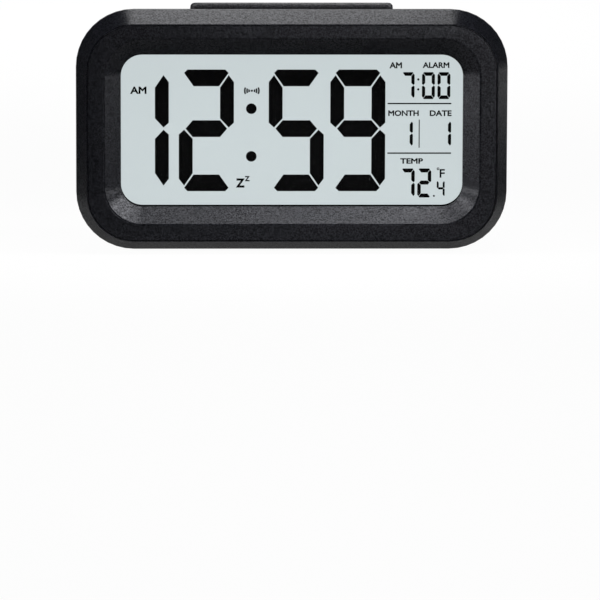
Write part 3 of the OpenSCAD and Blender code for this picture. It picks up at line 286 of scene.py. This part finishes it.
def remap(tree, value, low, high, span=NOISE_SPAN):
    """A number that goes from low to high as a value goes through its span."""
    start, end = span
    node = tree.nodes.new("ShaderNodeMapRange")
    node.inputs["From Min"].default_value = start
    node.inputs["From Max"].default_value = end
    feed(tree, node.inputs["To Min"], low)
    feed(tree, node.inputs["To Max"], high)
    tree.links.new(value, node.inputs["Value"])
    return node.outputs["Result"]


def shades(tree, value, first, second, span=NOISE_SPAN):
    """A colour that goes from the first to the second as a value goes through its span."""
    node = tree.nodes.new("ShaderNodeValToRGB")
    for element, place, colour in zip(node.color_ramp.elements, span, (first, second)):
        element.position = place
        element.color = (*colour, 1)
    tree.links.new(value, node.inputs["Fac"])
    return node.outputs["Color"]


def mixed(tree, factor, first, second):
    """A colour that goes from the first colour's output to the second's along a factor."""
    node = tree.nodes.new("ShaderNodeMix")
    node.data_type = "RGBA"
    tree.links.new(factor, node.inputs[MIX_FACTOR])
    for socket, colour in zip(node.inputs[MIX_COLOURS], (first, second)):
        tree.links.new(colour, socket)
    return node.outputs[MIX_RESULT]


def axes(tree, coordinate, kind):
    """The X, Y and Z of one kind of texture coordinate."""
    node = tree.nodes.new("ShaderNodeSeparateXYZ")
    tree.links.new(coordinate.outputs[kind], node.inputs["Vector"])
    return node.outputs


def math_node(tree, operation, *values):
    """The result of an operation on numbers or outputs."""
    node = tree.nodes.new("ShaderNodeMath")
    node.operation = operation
    for socket, value in zip(node.inputs, values):
        feed(tree, socket, value)
    return node.outputs["Value"]


def bump(tree, shader, height, relief):
    """Surface relief, whose height is given in mm."""
    node = tree.nodes.new("ShaderNodeBump")
    node.inputs["Distance"].default_value = relief * MM
    tree.links.new(height, node.inputs["Height"])
    tree.links.new(node.outputs["Normal"], shader.inputs["Normal"])


def scaled(colour, factor):
    """A colour with each channel times a factor."""
    return tuple(channel * factor for channel in colour)


def around(value, contrast):
    """A number's lower and upper neighbour, apart from it by a share of it."""
    return value * (1 - contrast), value * (1 + contrast)


def colours_around(colour, contrast):
    """A colour's darker and lighter neighbour, apart from it by a share of it."""
    return scaled(colour, 1 - contrast), scaled(colour, 1 + contrast)


# Materials
def plastic_grain(tree, coordinate):
    """The fine spark-eroded grain that all moulded plastics share."""
    return noise(tree, coordinate, GRAIN_SCALE, detail=3, roughness=0.6)


def moulded_plastic(name, colour, roughness, relief=GRAIN_RELIEF, gloss=0.3, contrast=0.35, tint=WHITE):
    """Moulded plastic with fine grain and faint cloudiness; contrast is the grain's, and tint the gloss's."""
    material, tree, shader, coordinate = new_material(name)
    fine = plastic_grain(tree, coordinate)
    cloud = noise(tree, coordinate, CLOUD_SCALE)
    dull = remap(tree, cloud, roughness - CLOUD_SWING, roughness + CLOUD_SWING)
    colours = colours_around(colour, contrast)
    tree.links.new(shades(tree, fine, *colours, GRAIN_SPAN), shader.inputs["Base Color"])
    tree.links.new(dull, shader.inputs["Roughness"])
    level = remap(tree, fine, *around(gloss, contrast), GRAIN_SPAN)
    tree.links.new(level, shader.inputs["Specular IOR Level"])
    shader.inputs["Specular Tint"].default_value = (*tint, 1)
    bump(tree, shader, fine, relief)
    return material


def housing_plastic(name, front, back, contrast):
    """Black plastic with a satin band in front of the parting line and a matt texture behind it, whose colour
    is painted lighter to make up for the little light that reaches the rear.
    """
    material, tree, shader, coordinate = new_material(name)
    fine = plastic_grain(tree, coordinate)
    depth = axes(tree, coordinate, "Object")["Y"]
    zone = remap(tree, depth, 0, 1, (PARTING_Y - PARTING_BLUR, PARTING_Y + PARTING_BLUR))
    colours = [
        shades(tree, fine, *colours_around(side["colour"], contrast), GRAIN_SPAN) for side in (front, back)
    ]
    tree.links.new(mixed(tree, zone, *colours), shader.inputs["Base Color"])
    dull = remap(tree, zone, front["roughness"], back["roughness"], FULL_SPAN)
    tree.links.new(dull, shader.inputs["Roughness"])
    levels = [
        remap(tree, zone, *ends, FULL_SPAN)
        for ends in zip(around(front["gloss"], contrast), around(back["gloss"], contrast))
    ]
    tree.links.new(remap(tree, fine, *levels, GRAIN_SPAN), shader.inputs["Specular IOR Level"])
    shader.inputs["Specular Tint"].default_value = (*COOL, 1)
    bump(tree, shader, fine, GRAIN_RELIEF)
    return material


def clear_plastic(name, colour, roughness, alpha):
    """Clear moulded plastic with faint haze; alpha is the share of light that it stops."""
    material, tree, shader, coordinate = new_material(name)
    haze = noise(tree, coordinate, HAZE_SCALE)
    tree.links.new(shades(tree, haze, scaled(colour, HAZE_SHADE), colour), shader.inputs["Base Color"])
    tree.links.new(remap(tree, haze, roughness, roughness + HAZE_ROUGHENING), shader.inputs["Roughness"])
    shader.inputs["Alpha"].default_value = alpha
    shader.inputs["Specular IOR Level"].default_value = CLEAR_GLOSS
    return material


def metal(name, colour, roughness):
    """Plated or drawn metal with fine streaks and a little tarnish."""
    material, tree, shader, coordinate = new_material(name)
    streak = noise(tree, coordinate, STREAK_SCALE, detail=4)
    tarnish = noise(tree, coordinate, TARNISH_SCALE)
    colours = [scaled(colour, shade) for shade in TARNISH_SHADES]
    tree.links.new(shades(tree, tarnish, *colours), shader.inputs["Base Color"])
    dull = remap(tree, streak, *(roughness + swing for swing in STREAK_SWING))
    tree.links.new(dull, shader.inputs["Roughness"])
    shader.inputs["Metallic"].default_value = 1
    bump(tree, shader, streak, STREAK_RELIEF)
    return material


def lcd_glass(name, colour, shade, painted_glow):
    """Pale display glass with an even sparkle; its glow is painted light, an emission that stands for a
    backlight and lights the display evenly where the bezel would shade it, and shade is its paleness without
    that glow.
    """
    material, tree, shader, coordinate = new_material(name)
    sparkle = noise(tree, coordinate, SPARKLE_SCALE, detail=1)
    for share, socket in ((shade, "Base Color"), (1, "Emission Color")):
        colours = [scaled(colour, sparkle_shade * share) for sparkle_shade in SPARKLE_SHADES]
        tree.links.new(shades(tree, sparkle, *colours), shader.inputs[socket])
    shader.inputs["Emission Strength"].default_value = painted_glow
    tree.links.new(remap(tree, sparkle, *DISPLAY_ROUGHNESS), shader.inputs["Roughness"])
    shader.inputs["Specular IOR Level"].default_value = DISPLAY_GLOSS
    return material


def circuit_board(name, colour, trace_colour):
    """Green solder mask over a grid of copper traces."""
    material, tree, shader, coordinate = new_material(name)
    trace = tree.nodes.new("ShaderNodeTexBrick")
    trace.inputs["Scale"].default_value = TRACE_SCALE
    trace.inputs["Color1"].default_value = (*colour, 1)
    trace.inputs["Color2"].default_value = (*scaled(colour, MASK_SHADE), 1)
    trace.inputs["Mortar"].default_value = (*trace_colour, 1)
    trace.inputs["Mortar Size"].default_value = TRACE_WIDTH
    tree.links.new(coordinate.outputs["Object"], trace.inputs["Vector"])
    tree.links.new(trace.outputs["Color"], shader.inputs["Base Color"])
    dull = remap(tree, noise(tree, coordinate, MASK_SCALE), *MASK_ROUGHNESS)
    tree.links.new(dull, shader.inputs["Roughness"])
    bump(tree, shader, trace.outputs["Fac"], TRACE_RELIEF)
    return material


def cell_jacket(name, dark, light):
    """Plain foil sleeve of a dry cell, mottled in two close colours, with a satin sheen."""
    material, tree, shader, coordinate = new_material(name)
    fine = noise(tree, coordinate, JACKET_SCALE, detail=3)
    tree.links.new(shades(tree, fine, dark, light), shader.inputs["Base Color"])
    tree.links.new(remap(tree, fine, *JACKET_ROUGHNESS), shader.inputs["Roughness"])
    shader.inputs["Metallic"].default_value = JACKET_METAL
    bump(tree, shader, fine, JACKET_RELIEF)
    return material


# Finishes by material slot
FINISHES = {
    "case_plastic": housing_plastic("case_plastic", FRONT_FINISH, BACK_FINISH_WITH_PAINTED_LIGHT, CASE_CONTRAST),
    "lcd_glass": lcd_glass("lcd_glass", **DISPLAY_FINISH),
    "board_green": circuit_board("board_green", **BOARD_FINISH),
    "cell_jacket": cell_jacket("cell_jacket", **CELL_FINISH),
}
for make, family in ((moulded_plastic, PLASTICS), (clear_plastic, CLEAR_PLASTICS), (metal, METALS)):
    for slot, values in family.items():
        FINISHES[slot] = make(slot, **values)


# Finish the solids
def soften(piece):
    """Smooth shading over shallow facets, with sharp edges kept where faces meet steeply."""
    mesh = piece.data
    if "custom_normal" in mesh.attributes:
        mesh.attributes.remove(mesh.attributes["custom_normal"])
    mesh.polygons.foreach_set("use_smooth", [True] * len(mesh.polygons))
    piece.modifiers.new("weld", "WELD").merge_threshold = WELD_GAP * MM
    piece.modifiers.new("sharp_edges", "EDGE_SPLIT").split_angle = math.radians(SHARP_ANGLE)
    piece.modifiers.new("flat_faces", "WEIGHTED_NORMAL").weight = LARGE_FACE_WEIGHT


SLOT_OF_NODE = {row["node"]: row["material_slot"] for row in frame["record"]["subparts"]}
for node_name, piece in frame["nodes"].items():
    piece.data.materials.clear()
    piece.data.materials.append(FINISHES[SLOT_OF_NODE[node_name]])
    soften(piece)


# Print and a black border on the display, as thick as its segments
segment_low, segment_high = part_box("lcd_segments")
panel_low, panel_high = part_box("lcd_panel")
MIDDLE_Z = (panel_low.z + panel_high.z) / 2
LAYER_FRONT = segment_low.y
LAYER_BACK = segment_high.y


def mesh_from(form, name):
    """A mesh of a finished form, which is then freed."""
    mesh = bpy.data.meshes.new(name)
    form.to_mesh(mesh)
    form.free()
    return mesh


def add_black_layer(name, form):
    """Adds a form as a thin black piece that moves with the case."""
    bmesh.ops.recalc_face_normals(form, faces=form.faces)
    piece = bpy.data.objects.new(name, mesh_from(form, name))
    scene.collection.objects.link(piece)
    piece.data.materials.append(FINISHES["segment_black"])
    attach(piece, "case")


def outer_edges(faces):
    """The edges that only one face uses, each in the turning direction of its face."""
    used = {(a, b) for face in faces for a, b in zip(face, face[1:] + face[:1])}
    return sorted((a, b) for a, b in used if (b, a) not in used)


def stamp(form, points, faces):
    """Adds a flat outline, made of points in mm on the display, as a thin raised solid."""
    front = [form.verts.new((x * MM, LAYER_FRONT, z * MM + MIDDLE_Z)) for x, z in points]
    back = [form.verts.new((x * MM, LAYER_BACK, z * MM + MIDDLE_Z)) for x, z in points]
    for face in faces:
        form.faces.new([front[i] for i in face])
        form.faces.new([back[i] for i in reversed(face)])
    for a, b in outer_edges(faces):
        form.faces.new([front[b], front[a], back[a], back[b]])


def text_form(text):
    """Flat letters of the built-in typeface, as points and faces."""
    letters = bpy.data.curves.new("letters", "FONT")
    letters.body = text
    letters.resolution_u = LETTER_STEPS
    holder = bpy.data.objects.new("letters", letters)
    scene.collection.objects.link(holder)
    graph = bpy.context.evaluated_depsgraph_get()
    flat = bpy.data.meshes.new_from_object(holder.evaluated_get(graph))
    bpy.data.objects.remove(holder)
    bpy.data.curves.remove(letters)
    form = bmesh.new()
    form.from_mesh(flat)
    bpy.data.meshes.remove(flat)
    bmesh.ops.remove_doubles(form, verts=form.verts, dist=LETTER_WELD)
    form.verts.index_update()
    points = [vert.co.xy for vert in form.verts]
    faces = [[vert.index for vert in face.verts] for face in form.faces]
    form.free()
    return points, faces


def thickened(points, faces, weight):
    """The outline moved outwards all round by a weight, which makes every stroke heavier."""
    push = [Vector((0, 0)) for _ in points]
    for a, b in outer_edges(faces):
        along = (points[b] - points[a]).normalized()
        for i in (a, b):
            push[i] += Vector((along.y, -along.x))
    return [point + p * (2 * weight / max(p.length_squared, 1)) for point, p in zip(points, push)]


def stamp_text(form, text, left, right, low, high, weight):
    """Adds letters of a weight that fill a box on the display."""
    points, faces = text_form(text)
    points = thickened(points, faces, weight)
    x0, x1 = min(p.x for p in points), max(p.x for p in points)
    y0, y1 = min(p.y for p in points), max(p.y for p in points)
    wide = (right - left) / (x1 - x0)
    tall = (high - low) / (y1 - y0)
    stamp(form, [(left + (p.x - x0) * wide, low + (p.y - y0) * tall) for p in points], faces)


def polar(middle, radius, angle):
    """The point at a radius and an angle from a middle."""
    return middle[0] + radius * math.cos(angle), middle[1] + radius * math.sin(angle)


def ring_points(middle, radius, line, ends, steps):
    """Points of an arc with a width, by turns on its outer and inner edge, and the quads between."""
    start, end = ends
    points = []
    for i in range(steps + 1):
        angle = math.radians(start + (end - start) * i / steps)
        points += [polar(middle, radius + line / 2, angle), polar(middle, radius - line / 2, angle)]
    faces = [[2 * i, 2 * i + 2, 2 * i + 3, 2 * i + 1] for i in range(steps)]
    return points, faces


def disc_points(middle, radius, steps):
    """Points of a disc and its one face."""
    points = [polar(middle, radius, 2 * math.pi * i / steps) for i in range(steps)]
    return points, [list(range(steps))]


def add_legends():
    """The words, the degree sign and the alarm mark, as one piece."""
    form = bmesh.new()
    for legend in LEGENDS:
        stamp_text(form, *legend)
    stamp(form, *ring_points(DEGREE_MIDDLE, DEGREE_RADIUS, DEGREE_LINE, DEGREE_ENDS, DEGREE_STEPS))
    stamp(form, *disc_points(BELL_MIDDLE, BELL_DOT, BELL_DOT_STEPS))
    for radius in BELL_RINGS:
        for facing in BELL_FACINGS:
            ends = (facing - BELL_HALF_ANGLE, facing + BELL_HALF_ANGLE)
            stamp(form, *ring_points(BELL_MIDDLE, radius, BELL_LINE, ends, BELL_STEPS))
    add_black_layer("lcd_legends", form)


def rounded_loop(half_w, half_h, radius):
    """Points of a rounded rectangle round the middle of the display."""
    points = []
    for turn, (x, z) in enumerate(((1, 1), (-1, 1), (-1, -1), (1, -1))):
        middle = (x * (half_w - radius), z * (half_h - radius))
        for i in range(CORNER_STEPS + 1):
            points.append(polar(middle, radius, math.pi / 2 * (turn + i / CORNER_STEPS)))
    return points


def add_border():
    """A black border round the display, wider at the top and bottom than at the sides, most of it hidden
    behind the bezel.
    """
    low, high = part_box("display_window")
    half_w = (high.x - low.x) / 2 / MM - WINDOW_EDGE
    half_h = (high.z - low.z) / 2 / MM - WINDOW_EDGE
    outer = rounded_loop(half_w + BORDER_HIDDEN, half_h + BORDER_HIDDEN, WINDOW_RADIUS + BORDER_HIDDEN)
    inner = rounded_loop(half_w - BORDER_SIDE, half_h - BORDER_TOP, WINDOW_RADIUS - BORDER_SIDE)
    count = len(outer)
    faces = [[i, (i + 1) % count, (i + 1) % count + count, i + count] for i in range(count)]
    form = bmesh.new()
    stamp(form, outer + inner, faces)
    add_black_layer("lcd_border", form)


add_legends()
add_border()


# Floor and light
def make_floor():
    """Paper that is white to the camera and keeps the object's shadow; a strip of it also glows to gloss and
    glass, a painted reflection that lifts the shadow under the object.
    """
    form = bmesh.new()
    bmesh.ops.create_circle(form, cap_ends=True, radius=FLOOR_RADIUS, segments=FLOOR_SIDES)
    floor = bpy.data.objects.new("floor", mesh_from(form, "floor"))
    scene.collection.objects.link(floor)
    material, tree, shader, coordinate = new_material("floor_paper")
    grain = noise(tree, coordinate, PAPER_SCALE)
    paper = shades(tree, grain, scaled(FLOOR_COLOUR, PAPER_SHADE), FLOOR_COLOUR)
    tree.links.new(paper, shader.inputs["Base Color"])
    shader.inputs["Roughness"].default_value = PAPER_ROUGHNESS
    shader.inputs["Specular IOR Level"].default_value = 0
    path = tree.nodes.new("ShaderNodeLightPath").outputs
    away = math_node(tree, "ABSOLUTE", axes(tree, coordinate, "Object")["X"])
    # Painted reflection: near the middle line the floor glows to gloss and glass, so the case's lower band
    # reflects white where the floor lies in shadow
    painted_reflection_share = remap(tree, away, WHITE_TO_GLOSS, 0, GLOSS_FADE)
    mirrored = math_node(tree, "MAXIMUM", path["Is Glossy Ray"], path["Is Transmission Ray"])
    seen = math_node(
        tree, "MAXIMUM",
        math_node(tree, "MULTIPLY", path["Is Camera Ray"], WHITE_TO_CAMERA),
        math_node(tree, "MULTIPLY", mirrored, painted_reflection_share),
    )
    white = tree.nodes.new("ShaderNodeEmission")
    blend = tree.nodes.new("ShaderNodeMixShader")
    sources = (seen, shader.outputs["BSDF"], white.outputs["Emission"])
    for socket, source in zip(blend.inputs, sources):
        tree.links.new(source, socket)
    tree.links.new(blend.outputs["Shader"], tree.nodes["Material Output"].inputs["Surface"])
    floor.data.materials.append(material)


def make_world():
    """A dim room that is a little lighter towards the horizon."""
    world = bpy.data.worlds.new("studio")
    scene.world = world
    world.use_nodes = True
    tree = world.node_tree
    coordinate = tree.nodes.new("ShaderNodeTexCoord")
    height = axes(tree, coordinate, "Generated")["Z"]
    light = shades(tree, height, HORIZON_LIGHT, CEILING_LIGHT, ROOM_FADE)
    tree.links.new(light, tree.nodes["Background"].inputs["Color"])


def add_lamp(lamp, direction):
    """An object that holds a lamp whose light goes in a direction."""
    holder = bpy.data.objects.new(lamp.name, lamp)
    scene.collection.objects.link(holder)
    holder.rotation_euler = direction.to_track_quat("-Z", "Y").to_euler()
    return holder


def make_sun(name):
    """One broad, weak light from the front."""
    lamp = bpy.data.lights.new(name, "SUN")
    lamp.angle = math.radians(SUN_ANGLE)
    lamp.energy = SUN_STRENGTH
    add_lamp(lamp, SUN_DIRECTION)


def make_softbox(name, place, aim, size, level, spread):
    """A rectangular light; level is the brightness of its face seen square on, where 1 is white."""
    half = math.radians(spread) / 2
    width, depth = size
    lamp = bpy.data.lights.new(name, "AREA")
    lamp.shape = "RECTANGLE"
    lamp.size = width
    lamp.size_y = depth
    lamp.spread = 2 * half
    lamp.energy = level * math.pi * width * depth * (1 - half / math.tan(half))
    holder = add_lamp(lamp, Vector(aim) - Vector(place))
    holder.location = place
    holder.visible_camera = False


def make_fan(name, side, levels):
    """Narrow lights in an arch, all aimed at the bevel's lower corner on the other side."""
    corner = Vector((side * FAN_CORNER[0], *FAN_CORNER[1:]))
    for number, (turn, level) in enumerate(zip(FAN_TURNS, levels)):
        angle = math.radians(turn)
        away = Vector((-side * math.sin(angle), 0, math.cos(angle))) * FAN_REACH
        make_softbox(f"{name}_fan_{number}", corner + away + FAN_AHEAD, corner, FAN_PANEL, level, FAN_SPREAD)


make_floor()
make_world()
make_sun("front_light")
for softbox in OVERHEAD_SOFTBOXES:
    make_softbox(*softbox)
make_fan("left", 1, LEFT_FAN_LEVELS)
make_fan("right", -1, RIGHT_FAN_LEVELS)
for softbox in LOW_SOFTBOXES:
    make_softbox(*softbox)


# Camera
def make_camera():
    """A camera at the photograph's angle and distance, turned so that the target falls on its pixel."""
    towards = Vector((
        math.sin(VIEW_YAW) * math.cos(VIEW_ELEVATION),
        math.cos(VIEW_YAW) * math.cos(VIEW_ELEVATION),
        -math.sin(VIEW_ELEVATION),
    ))
    level = Vector((math.cos(VIEW_YAW), -math.sin(VIEW_YAW), 0))
    upright = level.cross(towards)
    right = level * math.cos(VIEW_ROLL) + upright * math.sin(VIEW_ROLL)
    up = right.cross(towards)
    across = (IMAGE_SIZE / 2 - TARGET_PIXEL[0]) / FOCAL_PIXELS
    down = (IMAGE_SIZE / 2 - TARGET_PIXEL[1]) / FOCAL_PIXELS
    forward = (towards + across * right - down * up).normalized()
    side = forward.cross(up).normalized()
    data = bpy.data.cameras.new("camera")
    data.sensor_width = SENSOR_WIDTH
    data.lens = FOCAL_PIXELS / IMAGE_SIZE * SENSOR_WIDTH
    data.clip_end = VIEW_REACH
    camera = bpy.data.objects.new("camera", data)
    scene.collection.objects.link(camera)
    camera.location = TARGET - VIEW_DISTANCE * towards
    camera.rotation_euler = Matrix((side, side.cross(forward), -forward)).transposed().to_euler()
    scene.camera = camera


make_camera()
scene.view_settings.view_transform = "Standard"
